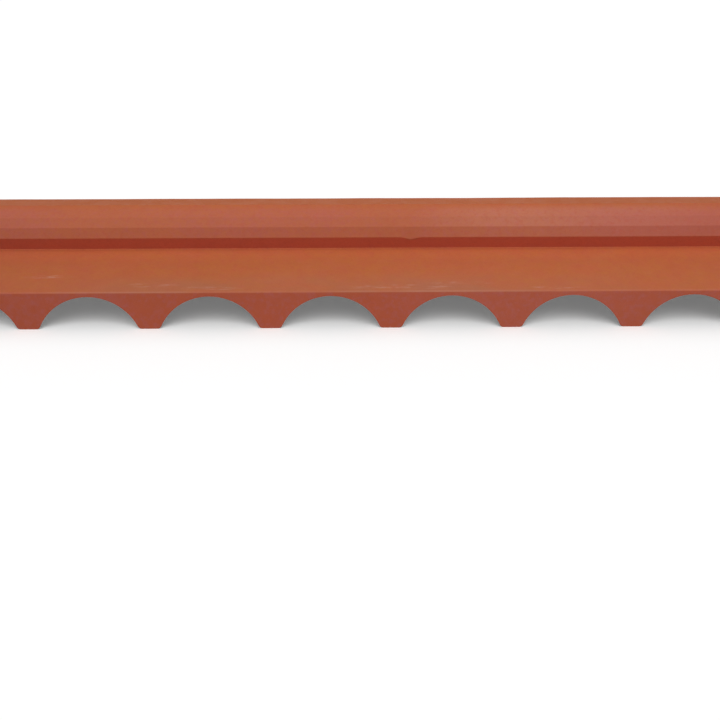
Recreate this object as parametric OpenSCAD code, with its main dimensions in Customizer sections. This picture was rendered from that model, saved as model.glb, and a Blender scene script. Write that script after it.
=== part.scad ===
// Roof ridge cap of steel: one folded coated sheet with a box crown and two notched skirts.
// X runs along the ridge, -Y is the front, Z is up; the teeth of both skirts stand on z = 0.

/* [Sheet] */
// Length of the cap along the ridge, mm
cap_len = 2100; // [700:10:3000]
// Thickness of the coated sheet, mm
sheet_t = 0.6; // [0.4:0.05:1.2]
// Radius of every fold at the middle of the sheet, mm
fold_r = 1.5; // [0.9:0.1:3]

/* [Skirts] */
// Height of a skirt from the teeth to the fold of its wing, mm
skirt_h = 63; // [60:1:90]
// Distance from one notch to the next, mm
notch_pitch = 200; // [160:1:260]
// Height of a notch over the teeth, mm
notch_depth = 56; // [20:0.5:57]
// Flat width of a tooth with its corners left sharp, mm
tooth_w = 35; // [20:1:60]
// Radius of the tooth corners, mm
tooth_corner_r = 7; // [1:0.5:8]

/* [Wings] */
// Width of a wing up its slope, mm
wing_w = 134; // [80:1:180]
// Slope of a wing, degrees
wing_slope = 15; // [5:1:30]

/* [Crown] */
// Width of the facet that leans in under the crown, mm
neck_w = 27; // [15:0.5:40]
// Lean of that facet, degrees
neck_lean = 30; // [10:1:40]
// Width of the upright side facet, mm
side_w = 18; // [10:0.5:30]
// Lean of the upright side facet, degrees
side_lean = 10; // [2:1:20]
// Width of the shoulder facet, mm
shoulder_w = 18; // [10:0.5:30]
// Lean of the shoulder facet, degrees
shoulder_lean = 37; // [25:1:50]
// Width of the facet next to the top, mm
brow_w = 32; // [20:0.5:45]
// Lean of the facet next to the top, degrees
brow_lean = 64; // [55:1:75]
// Width of the flat top, mm
top_w = 41; // [20:1:80]

/* [Hidden] */
paint = [0.70, 0.38, 0.25];

// Flat steps that stand for the curve of one fold
fold_steps = 4;
// Flat steps that stand for a notch arc and for the rounding of a tooth corner
arc_steps = 28;
corner_steps = 4;

// Half widths and heights of the folds, from the flat top down to the teeth
top_y = top_w / 2;
brow_y = top_y + brow_w * sin(brow_lean);
shoulder_y = brow_y + shoulder_w * sin(shoulder_lean);
side_y = shoulder_y + side_w * sin(side_lean);
neck_y = side_y - neck_w * sin(neck_lean);
edge_y = neck_y + wing_w * cos(wing_slope);
neck_z = skirt_h + wing_w * sin(wing_slope);
side_z = neck_z + neck_w * cos(neck_lean);
shoulder_z = side_z + side_w * cos(side_lean);
brow_z = shoulder_z + shoulder_w * cos(shoulder_lean);
top_z = brow_z + brow_w * cos(brow_lean);

// Sharp middle line of the sheet from the front teeth over the crown to the rear teeth
front_line = [
    [-edge_y, 0],
    [-edge_y, skirt_h],
    [-neck_y, neck_z],
    [-side_y, side_z],
    [-shoulder_y, shoulder_z],
    [-brow_y, brow_z],
    [-top_y, top_z]
];
front_count = len(front_line);
rear_line = [for (i = [front_count - 1 : -1 : 0]) [-front_line[i][0], front_line[i][1]]];
sheet_line = concat(front_line, rear_line);
line_count = len(sheet_line);

// Direction of the middle line after point i, and its left-hand normal, which is the outer side
function run_dir(i) = (sheet_line[i + 1] - sheet_line[i]) / norm(sheet_line[i + 1] - sheet_line[i]);
function left_of(d) = [-d[1], d[0]];
// Signed turn of the line at point i, degrees, positive to the left
function turn_at(i) =
    let (a = run_dir(i - 1), b = run_dir(i))
    atan2(a[0] * b[1] - a[1] * b[0], a * b);
// Centre of the fold circle at point i
function fold_centre(i) =
    let (turn = turn_at(i), setback = fold_r * tan(abs(turn) / 2))
    sheet_line[i] - run_dir(i - 1) * setback + left_of(run_dir(i - 1)) * fold_r * sign(turn);
// Points of one fold at a distance off the middle line towards the outer side
function fold_points(i, off) =
    let (turn = turn_at(i), side = sign(turn), start = left_of(run_dir(i - 1)), mid = fold_centre(i))
    [for (k = [0 : fold_steps])
        let (a = turn * k / fold_steps, n = [start[0] * cos(a) - start[1] * sin(a), start[0] * sin(a) + start[1] * cos(a)])
        mid - n * fold_r * side + n * off];
// One face of the sheet as a line of points
function face_points(off) = concat(
    [sheet_line[0] + left_of(run_dir(0)) * off],
    [for (i = [1 : line_count - 2]) each fold_points(i, off)],
    [sheet_line[line_count - 1] + left_of(run_dir(line_count - 2)) * off]
);
outer_face = face_points(sheet_t / 2);
inner_face = face_points(-sheet_t / 2);
inner_count = len(inner_face);
inner_back = [for (i = [inner_count - 1 : -1 : 0]) inner_face[i]];

// Notch arc through the tooth line and the notch top
notch_half = (notch_pitch - tooth_w) / 2;
notch_r = (notch_half * notch_half + notch_depth * notch_depth) / (2 * notch_depth);
notch_z = notch_depth - notch_r;
// Centre of the rounding of the tooth corner, and the angle at which it meets the notch arc
corner_x = sqrt(pow(notch_r + tooth_corner_r, 2) - pow(tooth_corner_r - notch_z, 2));
meet_angle = atan2(tooth_corner_r - notch_z, corner_x);
// Room that a cutter runs past the sheet
cut_past = skirt_h / 10;

// Notches on each skirt, and the first one's place
notch_count = floor(cap_len / notch_pitch);
first_notch_x = -(notch_count - 1) * notch_pitch / 2;

// Folded sheet before the skirts are notched
module folded_sheet() {
    translate([-cap_len / 2, 0, 0])
        rotate([90, 0, 90])
            linear_extrude(height = cap_len)
                polygon(concat(outer_face, inner_back));
}

// Points of an arc round a centre, from one angle to another
function arc_points(centre, r, from_angle, to_angle, steps) = [
    for (k = [0 : steps])
        let (a = from_angle + (to_angle - from_angle) * k / steps)
        centre + r * [cos(a), sin(a)]
];

// Outline of one notch: a tooth corner, the arc and the other tooth corner
module notch_outline() {
    polygon(concat(
        [[-corner_x, -cut_past], [corner_x, -cut_past]],
        arc_points([corner_x, tooth_corner_r], tooth_corner_r, 270, 180 + meet_angle, corner_steps),
        arc_points([0, notch_z], notch_r, meet_angle, 180 - meet_angle, arc_steps),
        arc_points([-corner_x, tooth_corner_r], tooth_corner_r, 360 - meet_angle, 270, corner_steps)
    ));
}

// One notch through the front and the rear skirt
module notch_cut() {
    translate([0, edge_y + cut_past, 0])
        rotate([90, 0, 0])
            linear_extrude(height = 2 * (edge_y + cut_past))
                notch_outline();
}

module ridge_cap() {
    color(paint)
        difference() {
            folded_sheet();
            for (i = [0 : notch_count - 1])
                translate([first_notch_x + i * notch_pitch, 0, 0])
                    notch_cut();
        }
}

ridge_cap();
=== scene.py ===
# Ridge cap of coated sheet steel: one folded sheet with a box crown, sloping wings and notched skirts.
# X runs along the ridge, -Y is the front, Z is up, and the teeth stand on z = 0. Lengths are in metres.
import math
from functools import reduce

import bmesh
import bpy
from bpy.props import FloatProperty, FloatVectorProperty, PointerProperty
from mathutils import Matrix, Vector


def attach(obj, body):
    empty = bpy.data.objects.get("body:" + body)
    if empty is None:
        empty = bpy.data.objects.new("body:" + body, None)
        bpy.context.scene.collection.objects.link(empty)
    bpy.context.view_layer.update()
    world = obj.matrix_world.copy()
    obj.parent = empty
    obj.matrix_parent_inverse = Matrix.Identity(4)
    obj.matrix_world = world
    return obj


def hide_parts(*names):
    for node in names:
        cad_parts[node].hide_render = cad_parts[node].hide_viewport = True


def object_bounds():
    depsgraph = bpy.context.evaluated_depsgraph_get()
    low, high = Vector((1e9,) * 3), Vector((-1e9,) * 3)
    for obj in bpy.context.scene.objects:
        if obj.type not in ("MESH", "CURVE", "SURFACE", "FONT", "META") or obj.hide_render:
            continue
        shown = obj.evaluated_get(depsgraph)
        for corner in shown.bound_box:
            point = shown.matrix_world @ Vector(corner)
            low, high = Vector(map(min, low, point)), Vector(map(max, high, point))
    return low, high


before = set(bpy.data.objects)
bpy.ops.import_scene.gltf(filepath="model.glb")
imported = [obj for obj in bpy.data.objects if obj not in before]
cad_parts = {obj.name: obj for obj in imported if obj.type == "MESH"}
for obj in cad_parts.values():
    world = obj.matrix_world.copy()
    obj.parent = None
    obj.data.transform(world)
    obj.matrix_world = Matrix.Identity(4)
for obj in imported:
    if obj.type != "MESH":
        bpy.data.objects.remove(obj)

bl_info = {
    "name": "Roof ridge cap",
    "version": (1, 0, 0),
    "blender": (4, 5, 0),
    "location": "View3D > Sidebar > Ridge cap",
    "description": "Folds a notched ridge cap out of one coated sheet and sets it on a pale floor",
    "category": "Object",
}

CAD_LOW, CAD_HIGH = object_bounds()
CAP_LENGTH = CAD_HIGH[0] - CAD_LOW[0]
MM = 0.001
WHITE = (1, 1, 1)
BLACK = (0, 0, 0)


# Properties

def length(name, description, default, least=0.0):
    """A length property in metres."""
    return FloatProperty(
        name=name, description=description, default=default, min=least, unit="LENGTH", precision=4
    )


def angle(name, description, degrees):
    """An angle property that takes its default in degrees."""
    return FloatProperty(
        name=name, description=description, default=math.radians(degrees), subtype="ANGLE"
    )


def colour(name, description, default):
    """A colour property."""
    return FloatVectorProperty(
        name=name, description=description, default=default, size=3, min=0, max=1, subtype="COLOR"
    )


def level(name, description, default):
    """A brightness or a grey level, where 1 is white."""
    return FloatProperty(name=name, description=description, default=default, min=0, soft_max=1)


class RidgeCapSizes(bpy.types.PropertyGroup):
    """Sizes of the folded sheet"""

    cap_length: length("Length", "Length of the cap along the ridge", CAP_LENGTH)
    sheet_t: length("Sheet", "Thickness of the coated sheet", 0.6 * MM)
    fold_r: length("Fold radius", "Radius of every fold at the middle of the sheet", 1.5 * MM)
    skirt_h: length("Skirt height", "Height of a skirt from its teeth to the fold of its wing", 63 * MM)
    notch_pitch: length("Notch pitch", "Distance from one notch to the next", 200 * MM)
    notch_depth: length("Notch depth", "Height of a notch over the teeth", 56 * MM)
    tooth_w: length("Tooth width", "Flat width of a tooth with its corners left sharp", 35 * MM)
    tooth_corner_r: length("Tooth corner", "Radius of the tooth corners", 7 * MM)
    wing_w: length("Wing width", "Width of a wing up its slope", 134 * MM)
    wing_slope: angle("Wing slope", "Slope of a wing over the level", 15)
    neck_w: length("Neck width", "Width of the facet that leans in under the crown", 27 * MM)
    neck_lean: angle("Neck lean", "Lean of the neck facet from upright", 30)
    side_w: length("Side width", "Width of the upright side facet", 18 * MM)
    side_lean: angle("Side lean", "Lean of the side facet from upright", 10)
    shoulder_w: length("Shoulder width", "Width of the shoulder facet", 18 * MM)
    shoulder_lean: angle("Shoulder lean", "Lean of the shoulder facet from upright", 37)
    brow_w: length("Brow width", "Width of the facet next to the top", 32 * MM)
    brow_lean: angle("Brow lean", "Lean of the facet next to the top from upright", 64)
    top_w: length("Top width", "Width of the flat top", 41 * MM)


class RidgeCapFinish(bpy.types.PropertyGroup):
    """Colours and marks of the finish, with painted light, shade and sheen"""

    coat: colour("Coat", "Terracotta of the outer coat", (0.454, 0.117, 0.043))
    coat_warm: colour("Warm coat", "Warmer, browner mottle in the coat", (0.449, 0.127, 0.041))
    # Painted shade: a browner flat top that cancels part of its grazing sheen
    top_shaded_coat: colour("Top coat", "Warmer terracotta of the flat top", (0.450, 0.117, 0.038))
    # Painted sheen: a pinkish sky reflection on the crown
    crown_sheen: colour("Crown coat", "Slightly chalked coat of the crown", (0.442, 0.122, 0.059))
    # Painted light: red light bounced from the wing onto the undercut neck, also laid on the wing beside
    # the neck
    neck_bounce_light: colour("Neck coat", "Cleaner, redder coat of the neck", (0.525, 0.108, 0.058))
    # Painted reddish bounce light on the skirts; the same colour also gives small flecks of the coat
    skirt_bounce_and_fleck: colour("Skirt coat", "Redder coat of the skirts and small flecks", (0.442, 0.088, 0.050))
    # Painted violet sky sheen on the crown and the skirts; the same colour also gives small flecks
    violet_sheen_and_fleck: colour("Bloom", "Faint violet bloom on the crown and the skirts", (0.430, 0.112, 0.092))
    # Real dust, made darker than the coat so that it also paints shade along the wing's front edge
    dust_and_shade: colour("Dust", "Dust that dulls the coat near the wing's front edge", (0.36, 0.135, 0.078))
    # Pale colour of real rubbed marks and chips, also used for painted sheen on the crown and a painted
    # highlight along the folds
    scuff_and_sheen: colour("Scuff", "Pale rubbed marks and chalky haze", (0.56, 0.29, 0.23))
    back: colour("Backing coat", "Thin grey coat on the underside", (0.42, 0.40, 0.37))
    steel: colour("Cut edge", "Zinc and steel at the cut edges", (0.16, 0.145, 0.15))
    wave: length("Waviness", "How far the flat facets stray from flat", 0.7 * MM)
    dent_x: length("Dent place", "Place along the ridge of the crown's dent", 38.5 * MM, -CAP_LENGTH / 2)
    dent_depth: length("Dent depth", "How far the dented fold is pushed down", 4.0 * MM)


class RidgeCapStage(bpy.types.PropertyGroup):
    """Camera, floor and lights"""

    camera_place: FloatVectorProperty(
        name="Camera",
        description="Place of the camera",
        default=(-0.0785, -2.1034, 0.7345),
        size=3,
        subtype="XYZ",
        unit="LENGTH",
    )
    camera_down: angle("Look down", "Tilt of the camera under the level", 22.381)
    camera_turn: angle("Look right", "Turn of the camera to the right", 0.80)
    lens: FloatProperty(name="Lens", description="Focal length", default=62, min=1, unit="CAMERA")
    sensor: FloatProperty(name="Sensor", description="Sensor width", default=36, min=1, unit="CAMERA")
    floor_size: length("Floor", "Side of the square floor", 40)
    fade_start: length("Fade start", "Distance from the cap's middle where the floor starts to fade", 1.3)
    fade_end: length("Fade end", "Distance from the cap's middle where the floor is white", 4)
    floor_tone: level("Floor tone", "Grey of the floor as the camera sees it", 0.95)
    floor_glow: level("Floor glow", "Brightness that lifts the floor to white for the camera", 0.14)
    floor_bounce: level("Floor bounce", "Grey of the floor as it lights the cap", 0.30)
    sky_level: level("Sky level", "Brightness of the surroundings as they light the cap", 0.60)
    key_level: level("Key level", "Brightness that the key light adds to a face turned to it", 0.445)
    key_height: angle("Key height", "Height of the key light over the level, in front of the cap", 47.5)
    key_spread: angle("Key spread", "Width of the key light in the sky, which softens its shadow", 40)


# Shape

# Vertices nearer to each other than this are merged
WELD = 0.01 * MM
# Vertices nearer than this to a fold or an end line lie on it
TOUCH = 0.05 * MM
# Flat steps of a tooth corner, of half a notch arc and of a fold
CORNER_STEPS = 4
ARC_STEPS = 13
FOLD_STEPS = 4
# Height that is left over each row of the skirt, as shares of the whole
SKIRT_LEFT_SHARES = (0.75, 0.45, 0.0)
# Rows across the facets from the wing up, with the front half of the top as the last
FACET_ROWS = (6, 2, 2, 2, 3, 2)
# Soft waves of the flat facets: name, size, and share of the waviness
WAVES = (
    ("long waves", 220 * MM, 0.7),
    ("short waves", 70 * MM, 0.3),
)
# Material slots of the sheet's underside and its cut edges
BACK_SLOT = 1
EDGE_SLOT = 2
# Turn past which an edge has its corner broken by a small bevel
BROKEN_TURN = math.radians(60)
# Turn past which an edge is shaded as a crease
CREASE_TURN = math.radians(35)


def start_edit():
    """Edit mode on the active object, in vertex select mode."""
    bpy.ops.object.mode_set(mode="EDIT")
    bpy.ops.mesh.select_mode(type="VERT")


def pick(test):
    """Select only the vertices whose place passes the test, with the edges and faces between them."""
    mesh = bpy.context.object.data
    bpy.ops.mesh.select_all(action="DESELECT")
    edit = bmesh.from_edit_mesh(mesh)
    for v in edit.verts:
        v.select_set(test(v.co))
    edit.select_flush(True)
    bmesh.update_edit_mesh(mesh)


def apply_all():
    """Apply every modifier of the active object in order."""
    for modifier in list(bpy.context.object.modifiers):
        bpy.ops.object.modifier_apply(modifier=modifier.name)


class FoldLine:
    """Places of the folds of the front half, worked out from the sizes."""

    def __init__(self, s):
        self.top_y = s.top_w / 2
        self.brow_y = self.top_y + s.brow_w * math.sin(s.brow_lean)
        self.shoulder_y = self.brow_y + s.shoulder_w * math.sin(s.shoulder_lean)
        self.side_y = self.shoulder_y + s.side_w * math.sin(s.side_lean)
        self.neck_y = self.side_y - s.neck_w * math.sin(s.neck_lean)
        self.edge_y = self.neck_y + s.wing_w * math.cos(s.wing_slope)
        self.neck_z = s.skirt_h + s.wing_w * math.sin(s.wing_slope)
        self.side_z = self.neck_z + s.neck_w * math.cos(s.neck_lean)
        self.shoulder_z = self.side_z + s.side_w * math.cos(s.side_lean)
        self.brow_z = self.shoulder_z + s.shoulder_w * math.cos(s.shoulder_lean)
        self.top_z = self.brow_z + s.brow_w * math.cos(s.brow_lean)
        self.points = [
            Vector((0, -self.edge_y, 0)),
            Vector((0, -self.edge_y, s.skirt_h)),
            Vector((0, -self.neck_y, self.neck_z)),
            Vector((0, -self.side_y, self.side_z)),
            Vector((0, -self.shoulder_y, self.shoulder_z)),
            Vector((0, -self.brow_y, self.brow_z)),
            Vector((0, -self.top_y, self.top_z)),
            Vector((0, 0, self.top_z)),
        ]

    def turn(self, i):
        """Angle that the sheet turns through at fold i."""
        before = self.points[i] - self.points[i - 1]
        after = self.points[i + 1] - self.points[i]
        return before.angle(after)


def notch_count(s):
    """Notches along one skirt."""
    return int(s.cap_length / s.notch_pitch)


def extrude_point(step):
    """Draw an edge from the selected vertex."""
    bpy.ops.mesh.extrude_vertices_move(TRANSFORM_OT_translate={"value": step})


def spin_point(steps, turn, centre):
    """Draw an arc from the selected vertex, round a centre, clockwise as the front sees it."""
    bpy.ops.mesh.spin(steps=steps, angle=turn, center=centre, axis=(0, -1, 0))


def draw_half_notch(s, line):
    """Draw the edge of half a notch, from the middle of a tooth over its corner to the top of the arc."""
    half = (s.notch_pitch - s.tooth_w) / 2
    notch_r = (half * half + s.notch_depth * s.notch_depth) / (2 * s.notch_depth)
    notch_z = s.notch_depth - notch_r
    rise = s.tooth_corner_r - notch_z
    corner_x = math.sqrt((notch_r + s.tooth_corner_r) ** 2 - rise * rise)
    meet = math.atan2(rise, corner_x)
    quarter = math.pi / 2

    bpy.ops.mesh.primitive_plane_add(size=s.tooth_w, location=(s.notch_pitch / 2, -line.edge_y, 0))
    bpy.ops.object.transform_apply(location=True)
    start_edit()
    bpy.ops.mesh.merge(type="CENTER")
    extrude_point((corner_x - s.notch_pitch / 2, 0, 0))
    spin_point(CORNER_STEPS, quarter - meet, (corner_x, -line.edge_y, s.tooth_corner_r))
    spin_point(ARC_STEPS, meet - quarter, (0, -line.edge_y, notch_z))
    bpy.ops.object.mode_set(mode="OBJECT")


def draw_notch_line(s, line):
    """Draw the lower edge of the front skirt: half notches, mirrored, repeated and run out to both ends."""
    draw_half_notch(s, line)
    cap = bpy.context.object
    mirror = cap.modifiers.new("other half", "MIRROR")
    mirror.merge_threshold = WELD
    repeat = cap.modifiers.new("along the ridge", "ARRAY")
    repeat.count = notch_count(s)
    repeat.use_relative_offset = False
    repeat.use_constant_offset = True
    repeat.constant_offset_displace = (s.notch_pitch, 0, 0)
    repeat.use_merge_vertices = True
    repeat.merge_threshold = WELD
    apply_all()

    start_edit()
    bpy.ops.mesh.select_all(action="SELECT")
    bpy.ops.transform.translate(value=(-(notch_count(s) - 1) * s.notch_pitch / 2, 0, 0))
    reach = notch_count(s) * s.notch_pitch / 2
    for side in (-1, 1):
        pick(lambda co, side=side: abs(co.x - side * reach) < TOUCH)
        extrude_point((side * (s.cap_length / 2 - reach), 0, 0))


def fold_up(s, line):
    """Raise the skirt from the notched line, then one facet after another up to the middle of the top."""
    bpy.ops.mesh.select_all(action="SELECT")
    last_share = 1.0
    for share in SKIRT_LEFT_SHARES:
        bpy.ops.mesh.extrude_edges_move(TRANSFORM_OT_translate={"value": (0, 0, 0)})
        bpy.ops.transform.resize(value=(1, 1, share / last_share), center_override=(0, 0, s.skirt_h))
        last_share = share
    for start, end, rows in zip(line.points[1:], line.points[2:], FACET_ROWS):
        step = (end - start) / rows
        for _ in range(rows):
            bpy.ops.mesh.extrude_edges_move(TRANSFORM_OT_translate={"value": step})
    face_out()


def face_out():
    """Turn every face of the open sheet to the outer side, which is up at its highest face."""
    bpy.ops.mesh.select_all(action="SELECT")
    bpy.ops.mesh.normals_make_consistent()
    edit = bmesh.from_edit_mesh(bpy.context.object.data)
    highest = max(edit.faces, key=lambda face: face.calc_center_median().z)
    if highest.normal.z < 0:
        bpy.ops.mesh.flip_normals()


def round_folds(s, line):
    """Round each fold to its radius."""
    for i in range(1, len(line.points) - 1):
        fold = line.points[i]
        pick(lambda co, fold=fold: abs(co.y - fold.y) < TOUCH and abs(co.z - fold.z) < TOUCH)
        bpy.ops.mesh.bevel(
            affect="EDGES",
            offset_type="OFFSET",
            offset=s.fold_r * math.tan(line.turn(i) / 2),
            segments=FOLD_STEPS,
            profile=0.5,
            clamp_overlap=False,
        )


def add_rear_half():
    """Mirror the front half to the rear, with the outer side facing out."""
    bpy.ops.object.mode_set(mode="OBJECT")
    cap = bpy.context.object
    mirror = cap.modifiers.new("rear half", "MIRROR")
    mirror.use_axis = (False, True, False)
    mirror.merge_threshold = WELD
    apply_all()
    start_edit()
    face_out()


def dent_fold(f, line):
    """Push the crown's lower front fold down and in at one small kink."""
    kink = Vector((f.dent_x, -line.side_y, line.side_z))
    kink_half = 4 * MM
    bent_half = 16 * MM
    inward_share = 0.3
    pick(lambda co: (co - kink).length < kink_half)
    bpy.ops.transform.translate(
        value=(0, inward_share * f.dent_depth, -f.dent_depth),
        use_proportional_edit=True,
        proportional_edit_falloff="LINEAR",
        proportional_size=bent_half,
    )


def wave_facets(f):
    """Let the flat facets stray a little from flat, in long soft waves."""
    bpy.ops.object.mode_set(mode="OBJECT")
    cap = bpy.context.object
    for name, size, share in WAVES:
        clouds = bpy.data.textures.new(name, "CLOUDS")
        clouds.noise_scale = size
        clouds.noise_depth = 1
        wave = cap.modifiers.new(name, "DISPLACE")
        wave.texture = clouds
        wave.texture_coords = "LOCAL"
        wave.direction = "NORMAL"
        wave.mid_level = 0.5
        # The strength spans the way from the lowest place to the highest
        wave.strength = 2 * f.wave * share
    apply_all()


def thicken(s):
    """Give the sheet its thickness, with the underside and the cut edges in materials of their own."""
    cap = bpy.context.object
    wall = cap.modifiers.new("sheet", "SOLIDIFY")
    wall.thickness = s.sheet_t
    wall.offset = 0
    wall.use_even_offset = True
    wall.material_offset = BACK_SLOT
    wall.material_offset_rim = EDGE_SLOT
    burr = cap.modifiers.new("sheared edge", "BEVEL")
    burr.width = s.sheet_t / 6
    burr.segments = 1
    burr.limit_method = "ANGLE"
    burr.angle_limit = BROKEN_TURN
    burr.material = EDGE_SLOT
    apply_all()


def shade(cap):
    """Smooth over the folds and keep the facets flat and the cut edges crisp."""
    bpy.ops.object.shade_smooth_by_angle(angle=CREASE_TURN)
    weight = cap.modifiers.new("flat facets", "WEIGHTED_NORMAL")
    weight.mode = "FACE_AREA"
    weight.keep_sharp = True
    apply_all()


# Materials

# Reach of a spot that takes in the cap's whole width and height
WIDE = 1000 * MM
# Rubbed marks on the front wing: place along the ridge and up the wing, half length and width, strength
SCUFFS = (
    (-570 * MM, 48 * MM, 50 * MM, 6 * MM, 0.42),
    (-395 * MM, 22 * MM, 50 * MM, 9 * MM, 0.30),
    (-300 * MM, 12 * MM, 60 * MM, 8 * MM, 0.35),
    (20 * MM, 14 * MM, 120 * MM, 9 * MM, 0.35),
    (110 * MM, 24 * MM, 70 * MM, 6 * MM, 0.25),
    (270 * MM, 10 * MM, 60 * MM, 6 * MM, 0.30),
)


class Nodes:
    """A material's node tree, built by short calls."""

    def __init__(self, name):
        self.material = bpy.data.materials.new(name)
        self.material.use_nodes = True
        self.tree = self.material.node_tree
        self.tree.nodes.clear()
        self.shader = self.add("ShaderNodeBsdfPrincipled")
        out = self.add("ShaderNodeOutputMaterial")
        self.link(self.shader.outputs["BSDF"], out.inputs["Surface"])
        self.place = self.add("ShaderNodeTexCoord").outputs["Object"]
        split = self.add("ShaderNodeSeparateXYZ")
        self.link(self.place, split.inputs[0])
        self.x, self.y, self.z = split.outputs

    def add(self, kind):
        """A new node."""
        return self.tree.nodes.new(kind)

    def link(self, source, socket):
        """Join a source, which is an output or a plain value, to a socket."""
        if isinstance(source, bpy.types.NodeSocket):
            self.tree.links.new(source, socket)
        else:
            socket.default_value = source

    def finish(self, **inputs):
        """Set the shader's inputs, named with an underscore for each space."""
        for name, source in inputs.items():
            self.link(source, self.shader.inputs[name.replace("_", " ")])

    def calc(self, operation, *values):
        """A Math node."""
        node = self.add("ShaderNodeMath")
        node.operation = operation
        for socket, value in zip(node.inputs, values):
            self.link(value, socket)
        return node.outputs[0]

    def plus(self, *values):
        """The sum of the values."""
        return reduce(lambda a, b: self.calc("ADD", a, b), values)

    def minus(self, a, b):
        """One value less another."""
        return self.calc("SUBTRACT", a, b)

    def times(self, *values):
        """The product of the values."""
        return reduce(lambda a, b: self.calc("MULTIPLY", a, b), values)

    def most(self, *values):
        """The greatest of the values."""
        return reduce(lambda a, b: self.calc("MAXIMUM", a, b), values)

    def between(self, low, high, share):
        """A number moved from low to high by a share."""
        return self.calc("MULTIPLY_ADD", share, high - low, low)

    def ramp(self, value, low, high, to_low=0.0, to_high=1.0):
        """A value moved from one range to another in a smooth step."""
        node = self.add("ShaderNodeMapRange")
        node.interpolation_type = "SMOOTHSTEP"
        for socket, number in zip(node.inputs, (value, low, high, to_low, to_high)):
            self.link(number, socket)
        return node.outputs[0]

    def noise(self, size, detail=2.0, stretch=(1, 1, 1), roughness=0.5):
        """Noise from 0 to 1 whose features are about size metres across, times the stretch of each axis."""
        scaled = self.add("ShaderNodeMapping")
        self.link(self.place, scaled.inputs["Vector"])
        scaled.inputs["Scale"].default_value = [1 / (size * k) for k in stretch]
        node = self.add("ShaderNodeTexNoise")
        self.link(scaled.outputs[0], node.inputs["Vector"])
        node.inputs["Scale"].default_value = 1
        node.inputs["Detail"].default_value = detail
        node.inputs["Roughness"].default_value = roughness
        return node.outputs["Fac"]

    def patches(self, size, band=(0.3, 0.7), to=(0.0, 1.0), **texture):
        """Noise that goes from one value to another over a band of its own range."""
        return self.ramp(self.noise(size, **texture), *band, *to)

    def spot(self, centre, reach):
        """1 at a place, falling to 0 at a reach for each axis."""
        squares = []
        for axis, at, far in zip((self.x, self.y, self.z), centre, reach):
            off = self.calc("DIVIDE", self.minus(axis, at), far)
            squares.append(self.times(off, off))
        # Squared shares of the reach at which the spot ends and is full
        rim = 1.0
        core = 0.1
        return self.ramp(self.plus(*squares), rim, core)

    def along(self, x, reach):
        """1 at a place along the ridge, falling to 0 at a reach, all across the cap."""
        return self.spot((x, 0, 0), (reach, WIDE, WIDE))

    def mix(self, share, a, b):
        """Two colours mixed by a share."""
        node = self.add("ShaderNodeMix")
        node.data_type = "RGBA"
        self.link(share, node.inputs[0])
        self.link(opaque(a), node.inputs[6])
        self.link(opaque(b), node.inputs[7])
        return node.outputs[2]

    def cover(self, under, over, where, share=1.0):
        """A colour laid over another where a mask says, at most by a share."""
        return self.mix(where if share == 1 else self.times(where, share), under, over)

    def toned(self, tint, tone):
        """A colour made lighter or darker by a tone."""
        node = self.add("ShaderNodeVectorMath")
        node.operation = "SCALE"
        self.link(tint, node.inputs[0])
        self.link(tone, node.inputs["Scale"])
        return node.outputs[0]

    def from_middle(self):
        """Distance from the middle of the object."""
        node = self.add("ShaderNodeVectorMath")
        node.operation = "LENGTH"
        self.link(self.place, node.inputs[0])
        return node.outputs["Value"]

    def bump(self, height, distance, strength=1.0, under=None):
        """A bump, on top of another one if it is given."""
        node = self.add("ShaderNodeBump")
        self.link(height, node.inputs["Height"])
        node.inputs["Distance"].default_value = distance
        node.inputs["Strength"].default_value = strength
        if under is not None:
            self.link(under, node.inputs["Normal"])
        return node.outputs[0]


def opaque(value):
    """A colour with its alpha; an output as it is."""
    return value if isinstance(value, bpy.types.NodeSocket) else (*value, 1.0)


class Facets:
    """Masks of the cap's facets, 1 on a facet and 0 off it, told by height and distance from the middle."""

    def __init__(self, n, s, f, line):
        blend = 2 * MM
        neck_blend = 3 * MM
        top_fade = 18 * MM
        dent_reach = (15 * MM, 8 * MM, 7 * MM)
        self.across = n.calc("ABSOLUTE", n.y)
        dent = n.spot((f.dent_x, -line.side_y, line.side_z), dent_reach)
        over_neck = n.most(n.ramp(n.z, line.side_z - blend, line.side_z + blend), dent)
        over_wing = n.ramp(n.z, line.neck_z - blend, line.neck_z + neck_blend)
        self.top = n.ramp(self.across, line.top_y + blend / 2, line.top_y - blend / 2)
        self.near_top = n.ramp(self.across, line.top_y + top_fade, line.top_y - blend)
        self.crown = n.minus(over_neck, self.near_top)
        self.neck = n.minus(over_wing, over_neck)
        self.skirt = n.ramp(n.z, s.skirt_h + blend, s.skirt_h - blend)
        self.over_skirt = n.ramp(n.z, s.skirt_h - blend, s.skirt_h)


def coat_and_light_tints(n, f, line, facets):
    """Mottled terracotta with painted light in the tint of each facet: a painted sheen on the crown,
    painted red bounce light on the neck and the skirts, painted shade on the flat top, and painted light on
    the wing beside the neck.
    """
    mottle = 35 * MM
    neck_light_start = line.neck_z - 20 * MM
    neck_light_end = line.neck_z - 1 * MM
    coat = n.mix(n.patches(mottle, band=(0.35, 0.65), detail=3), f.coat_warm, f.coat)
    # Painted light on the wing strip beside the neck, and painted red bounce light on the neck
    painted_neck_light = n.ramp(n.z, neck_light_start, neck_light_end, to_high=0.15)
    coat = n.cover(coat, f.neck_bounce_light, n.most(facets.neck, painted_neck_light))
    # Painted sky sheen on the crown
    coat = n.cover(coat, f.crown_sheen, facets.crown, share=0.9)
    # Painted reddish bounce light on the skirts
    coat = n.cover(coat, f.skirt_bounce_and_fleck, facets.skirt, share=0.75)
    # Painted shade on the flat top
    return n.cover(coat, f.top_shaded_coat, facets.top)


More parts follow.
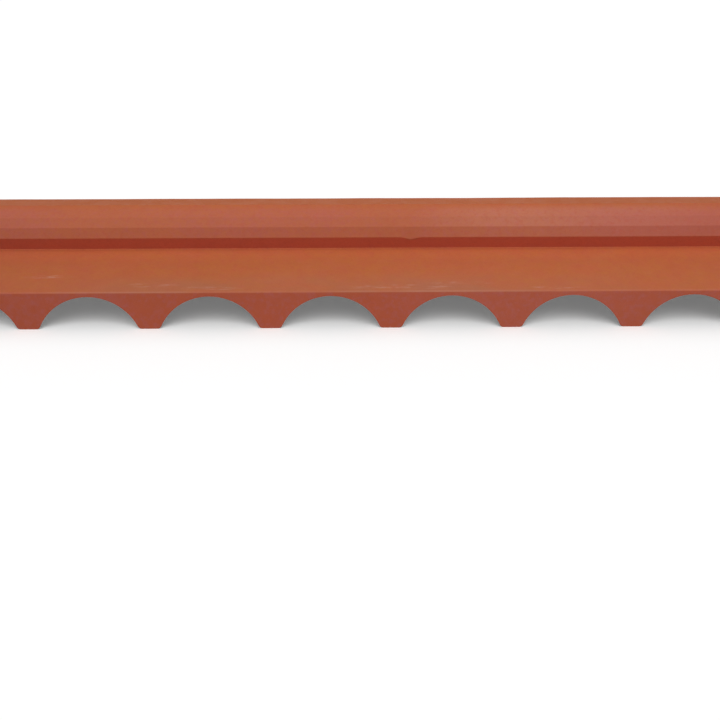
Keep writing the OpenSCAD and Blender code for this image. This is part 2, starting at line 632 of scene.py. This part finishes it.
def add_violet_sheen(n, f, facets, coat):
    """Painted violet sky sheen in cloudy patches, full on the crown and the skirts, weaker elsewhere and
    none on the flat top, with small flecks of the same colour on the skirts and the crown.
    """
    fine_cloud = 14 * MM
    broad_cloud = 120 * MM
    fleck = 7 * MM
    cloudy = n.plus(
        n.times(n.noise(fine_cloud, detail=4, roughness=0.65), 0.6),
        n.times(n.noise(broad_cloud, detail=1), 0.4),
    )
    sheen_facets = n.most(facets.crown, facets.skirt, n.between(0.35, 0.0, facets.top))
    coat = n.cover(coat, f.violet_sheen_and_fleck, n.times(sheen_facets, n.ramp(cloudy, 0.40, 0.66)), share=0.45)
    flecked = n.most(facets.skirt, n.times(facets.crown, 0.5))
    return n.cover(coat, f.violet_sheen_and_fleck, n.times(n.patches(fleck, band=(0.48, 0.68)), flecked), share=0.42)


def add_painted_sheen(n, f, line, facets, coat):
    """Painted pale sheen right of the middle, on the crown and a little on the skirts, and a painted violet
    sheen on the lower crown further right.
    """
    sheen_x = 300 * MM
    sheen_reach = 280 * MM
    violet_x = 550 * MM
    violet_reach = 300 * MM
    side_blend = 1 * MM
    brow_blend = 12 * MM
    over_side = n.ramp(n.z, line.shoulder_z - side_blend, line.shoulder_z + side_blend, to_low=0.4)
    sheen_mask = n.plus(n.times(facets.crown, over_side), n.times(facets.skirt, 0.2))
    coat = n.cover(coat, f.scuff_and_sheen, n.times(n.along(sheen_x, sheen_reach), sheen_mask), share=0.16)
    under_brow = n.ramp(n.z, line.brow_z + brow_blend, line.brow_z, to_low=0.2)
    low_crown = n.times(facets.crown, under_brow)
    return n.cover(coat, f.violet_sheen_and_fleck, n.times(n.along(violet_x, violet_reach), low_crown), share=0.5)


def coat_tone_and_shade(n, line, facets):
    """Lighter and darker areas of the coat, from broad clouds down to its grain, with painted light and
    shade: lighter over the brow fold, darker towards the ends, darker on and near the top, and lighter
    beside the neck.
    """
    broad_cloud = 300 * MM
    fine_cloud = 22 * MM
    grain = 1.6 * MM
    middle_reach = 750 * MM
    brow_blend = 1 * MM
    # Painted light: a brighter strip of a wing beside the neck, which ends in the fold
    glow_start = line.neck_z - 13 * MM
    glow_full = line.neck_z - 2 * MM
    fold_start = line.neck_z - 2.2 * MM
    fold_full = line.neck_z - 0.3 * MM
    painted_neck_glow = n.minus(n.ramp(n.z, glow_start, glow_full), n.ramp(n.z, fold_start, fold_full))
    return n.times(
        n.patches(broad_cloud, to=(0.97, 1.03), stretch=(1.6, 1, 1)),
        n.patches(fine_cloud, to=(0.985, 1.015), detail=3),
        n.patches(grain, to=(0.965, 1.035)),
        # Painted shade: darker below the brow fold and lighter above it
        n.ramp(n.z, line.brow_z - brow_blend, line.brow_z + brow_blend, 0.985, 1.015),
        # Painted light falloff: darker towards the ends, lighter in the middle of the length
        n.between(0.95, 1.01, n.along(0, middle_reach)),
        # Painted shade on the flat top and next to it
        n.between(1.0, 0.95, facets.top),
        n.between(1.0, 0.96, facets.near_top),
        n.between(1.0, 1.15, painted_neck_glow),
    )


def dust_and_shade_cover(n, s, facets):
    """Dust along the outer edge of a wing, darker than the coat so that it is partly painted shade,
    strongest in the middle of the length.
    """
    dust_shade_end = s.skirt_h + 18 * MM
    dust_shade_full = s.skirt_h + 3 * MM
    patch = 50 * MM
    strongest_x = -50 * MM
    strong_reach = 550 * MM
    patchy = n.patches(
        patch, band=(0.35, 0.65), to=(0.25, 0.70), detail=4, stretch=(3, 1, 1), roughness=0.6
    )
    return n.times(
        n.ramp(n.z, dust_shade_end, dust_shade_full),
        facets.over_skirt,
        patchy,
        n.between(0.15, 1.0, n.along(strongest_x, strong_reach)),
    )


def scuff_cover(n, s, line):
    """Rubbed marks on the front wing, broken into streaks along the ridge."""
    streak = 4 * MM
    up_slope = Vector((0, math.cos(s.wing_slope), math.sin(s.wing_slope)))
    edge = Vector((0, -line.edge_y, s.skirt_h))
    marks = []
    for x, up_wing, half_length, half_width, strength in SCUFFS:
        centre = edge + up_slope * up_wing + Vector((x, 0, 0))
        mark = n.spot(centre, (half_length, half_width, half_width))
        marks.append(n.times(mark, strength))
    streaks = n.patches(streak, band=(0.45, 0.7), detail=3, stretch=(6, 1, 1), roughness=0.7)
    return n.times(n.most(*marks), streaks)


def wear_and_highlight_cover(n, s, line, facets):
    """Wear and a painted highlight along the folds between the wings and the skirts."""
    wear_highlight_y = line.edge_y - 1.2 * MM
    wear_highlight_z = s.skirt_h + 0.8 * MM
    wear_highlight_end = 2.6 * MM
    wear_highlight_full = 1 * MM
    patch = 50 * MM
    off_y = n.minus(facets.across, wear_highlight_y)
    off_z = n.minus(n.z, wear_highlight_z)
    away = n.calc("SQRT", n.plus(n.times(off_y, off_y), n.times(off_z, off_z)))
    wear_highlight = n.patches(patch, band=(0.4, 0.6), to=(0.06, 0.16), detail=3, stretch=(3, 1, 1))
    return n.times(n.ramp(away, wear_highlight_end, wear_highlight_full), wear_highlight)


def chip_cover(n):
    """Small chips at the tips of the teeth."""
    chips_end = 3.5 * MM
    chips_full = 0.5 * MM
    chip = 4.5 * MM
    at_tip = n.ramp(n.z, chips_end, chips_full)
    return n.times(at_tip, n.patches(chip, band=(0.62, 0.68), detail=3))


def coat_relief(n):
    """Shallow canning of the sheet, and the fine orange peel of its coat."""
    canning = 110 * MM
    canning_depth = 1.6 * MM
    peel = 2.2 * MM
    peel_depth = 0.05 * MM
    canned = n.bump(n.noise(canning, detail=1, stretch=(1.5, 1, 1)), canning_depth)
    return n.bump(n.noise(peel), peel_depth, strength=0.6, under=canned)


def coat_material(s, f, line):
    """Matte terracotta coil coating: tinted by facet with painted light, shade and sheen, dusty with dust
    that is partly painted shade, rubbed, worn at the folds with a painted highlight, and chipped at the
    teeth.
    """
    blotch = 6 * MM
    sheen_patch = 20 * MM
    n = Nodes("terracotta_coat")
    facets = Facets(n, s, f, line)
    coat = coat_and_light_tints(n, f, line, facets)
    coat = add_violet_sheen(n, f, facets, coat)
    coat = add_painted_sheen(n, f, line, facets, coat)
    coat = n.cover(coat, f.skirt_bounce_and_fleck, n.patches(blotch, band=(0.45, 0.75), detail=3), share=0.35)
    # Dust that is partly painted shade along the wing's front edge
    coat = n.cover(coat, f.dust_and_shade, dust_and_shade_cover(n, s, facets))
    coat = n.cover(coat, f.scuff_and_sheen, scuff_cover(n, s, line))
    # Wear and a painted highlight along the folds
    coat = n.cover(coat, f.scuff_and_sheen, wear_and_highlight_cover(n, s, line, facets))
    coat = n.cover(coat, f.scuff_and_sheen, chip_cover(n), share=0.7)
    n.finish(
        Base_Color=n.toned(coat, coat_tone_and_shade(n, line, facets)),
        Roughness=n.patches(sheen_patch, to=(0.52, 0.62), detail=3),
        Specular_IOR_Level=0.06,
        Normal=coat_relief(n),
    )
    return n.material


def back_material(f):
    """Thin grey backing coat of the underside."""
    mottle = 12 * MM
    sheen_patch = 30 * MM
    peel = 3 * MM
    peel_depth = 0.04 * MM
    dark_share = 0.86
    darker = [dark_share * k for k in f.back]
    n = Nodes("grey_backing_coat")
    n.finish(
        Base_Color=n.mix(n.patches(mottle, detail=4), darker, f.back),
        Roughness=n.patches(sheen_patch, to=(0.5, 0.62)),
        Normal=n.bump(n.noise(peel), peel_depth, strength=0.5),
    )
    return n.material


def edge_material(f):
    """Sheared zinc and steel of the cut edges."""
    zinc_patch = 3 * MM
    sheen_patch = 2 * MM
    bright_share = 1.6
    brighter = [bright_share * k for k in f.steel]
    n = Nodes("cut_steel_edge")
    n.finish(
        Base_Color=n.mix(n.patches(zinc_patch, band=(0.35, 0.65)), f.steel, brighter),
        Metallic=0.6,
        Roughness=n.patches(sheen_patch, to=(0.4, 0.6)),
    )
    return n.material


def seen_directly(tree):
    """1 on rays from the camera and on mirror and glass rays, and 0 on those that light other surfaces."""
    path = tree.nodes.new("ShaderNodeLightPath")
    seen = path.outputs["Is Camera Ray"]
    for kind in ("Is Glossy Ray", "Is Transmission Ray"):
        either = tree.nodes.new("ShaderNodeMath")
        either.operation = "MAXIMUM"
        tree.links.new(seen, either.inputs[0])
        tree.links.new(path.outputs[kind], either.inputs[1])
        seen = either.outputs[0]
    return seen


def floor_material(g):
    """Pale floor that keeps the shadow, fades to white far off, and lights the cap less than it shows."""
    n = Nodes("pale_floor")
    seen = seen_directly(n.tree)
    away = n.from_middle()
    shown = n.mix(n.ramp(away, g.fade_start, g.fade_end), [g.floor_tone] * 3, BLACK)
    glow = n.ramp(away, g.fade_start, g.fade_end, g.floor_glow, 1)
    n.finish(
        Base_Color=n.mix(seen, [g.floor_bounce] * 3, shown),
        Roughness=0.9,
        Specular_IOR_Level=0.1,
        Emission_Color=opaque(WHITE),
        Emission_Strength=n.times(seen, glow),
    )
    return n.material


def light_world(tree, g):
    """White where it is seen, and softer where it lights the cap."""
    strength = tree.nodes.new("ShaderNodeMix")
    tree.links.new(seen_directly(tree), strength.inputs[0])
    strength.inputs[2].default_value = g.sky_level
    strength.inputs[3].default_value = 1
    background = tree.nodes["Background"]
    background.inputs["Color"].default_value = opaque(WHITE)
    tree.links.new(strength.outputs[0], background.inputs["Strength"])


# Operators

# Turn about X that points a camera or a lamp level to the rear
LEVEL_VIEW = math.pi / 2


class RIDGECAP_OT_sheet(bpy.types.Operator):
    """Fold the cap out of one notched sheet and finish it"""

    bl_idname = "ridge_cap.sheet"
    bl_label = "Ridge cap sheet"

    def execute(self, context):
        s = context.scene.ridge_cap_sizes
        f = context.scene.ridge_cap_finish
        line = FoldLine(s)
        bpy.ops.object.select_all(action="DESELECT")
        draw_notch_line(s, line)
        cap = context.object
        cap.name = "ridge_cap_sheet"
        fold_up(s, line)
        round_folds(s, line)
        add_rear_half()
        dent_fold(f, line)
        wave_facets(f)
        for material in (coat_material(s, f, line), back_material(f), edge_material(f)):
            cap.data.materials.append(material)
        thicken(s)
        shade(cap)
        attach(cap, "root")
        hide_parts("ridge_cap")
        return {"FINISHED"}


class RIDGECAP_OT_stage(bpy.types.Operator):
    """Set the camera, the pale floor and the soft light"""

    bl_idname = "ridge_cap.stage"
    bl_label = "Floor, light and camera"

    def execute(self, context):
        g = context.scene.ridge_cap_stage
        bpy.ops.object.select_all(action="DESELECT")
        bpy.ops.object.camera_add(
            location=g.camera_place, rotation=(LEVEL_VIEW - g.camera_down, 0, -g.camera_turn)
        )
        camera = context.object
        camera.data.sensor_width = g.sensor
        camera.data.lens = g.lens
        context.scene.camera = camera

        bpy.ops.mesh.primitive_plane_add(size=g.floor_size)
        floor = context.object
        floor.name = "floor"
        floor.data.materials.append(floor_material(g))

        bpy.ops.object.light_add(type="SUN", rotation=(LEVEL_VIEW - g.key_height, 0, 0))
        key = context.object
        key.name = "key_light"
        key.data.energy = math.pi * g.key_level
        key.data.angle = g.key_spread

        world = bpy.data.worlds.new("soft_surroundings")
        context.scene.world = world
        world.use_nodes = True
        light_world(world.node_tree, g)
        context.scene.view_settings.view_transform = "Standard"
        return {"FINISHED"}


class RIDGECAP_PT_panel(bpy.types.Panel):
    """Sizes, finish and stage of the ridge cap"""

    bl_label = "Ridge cap"
    bl_idname = "RIDGECAP_PT_panel"
    bl_space_type = "VIEW_3D"
    bl_region_type = "UI"
    bl_category = "Ridge cap"

    def draw(self, context):
        scene = context.scene
        for group in (scene.ridge_cap_sizes, scene.ridge_cap_finish, scene.ridge_cap_stage):
            box = self.layout.box()
            for name in group.__annotations__:
                box.prop(group, name)
        self.layout.operator(RIDGECAP_OT_sheet.bl_idname)
        self.layout.operator(RIDGECAP_OT_stage.bl_idname)


CLASSES = (
    RidgeCapSizes,
    RidgeCapFinish,
    RidgeCapStage,
    RIDGECAP_OT_sheet,
    RIDGECAP_OT_stage,
    RIDGECAP_PT_panel,
)


def register():
    """Register the classes and hang their properties on the scene."""
    for item in CLASSES:
        bpy.utils.register_class(item)
    bpy.types.Scene.ridge_cap_sizes = PointerProperty(type=RidgeCapSizes)
    bpy.types.Scene.ridge_cap_finish = PointerProperty(type=RidgeCapFinish)
    bpy.types.Scene.ridge_cap_stage = PointerProperty(type=RidgeCapStage)


def unregister():
    """Undo register."""
    del bpy.types.Scene.ridge_cap_stage
    del bpy.types.Scene.ridge_cap_finish
    del bpy.types.Scene.ridge_cap_sizes
    for item in reversed(CLASSES):
        bpy.utils.unregister_class(item)


def main():
    """Build the cap and its stage."""
    register()
    bpy.ops.ridge_cap.stage()
    bpy.ops.ridge_cap.sheet()


if __name__ == "__main__":
    main()
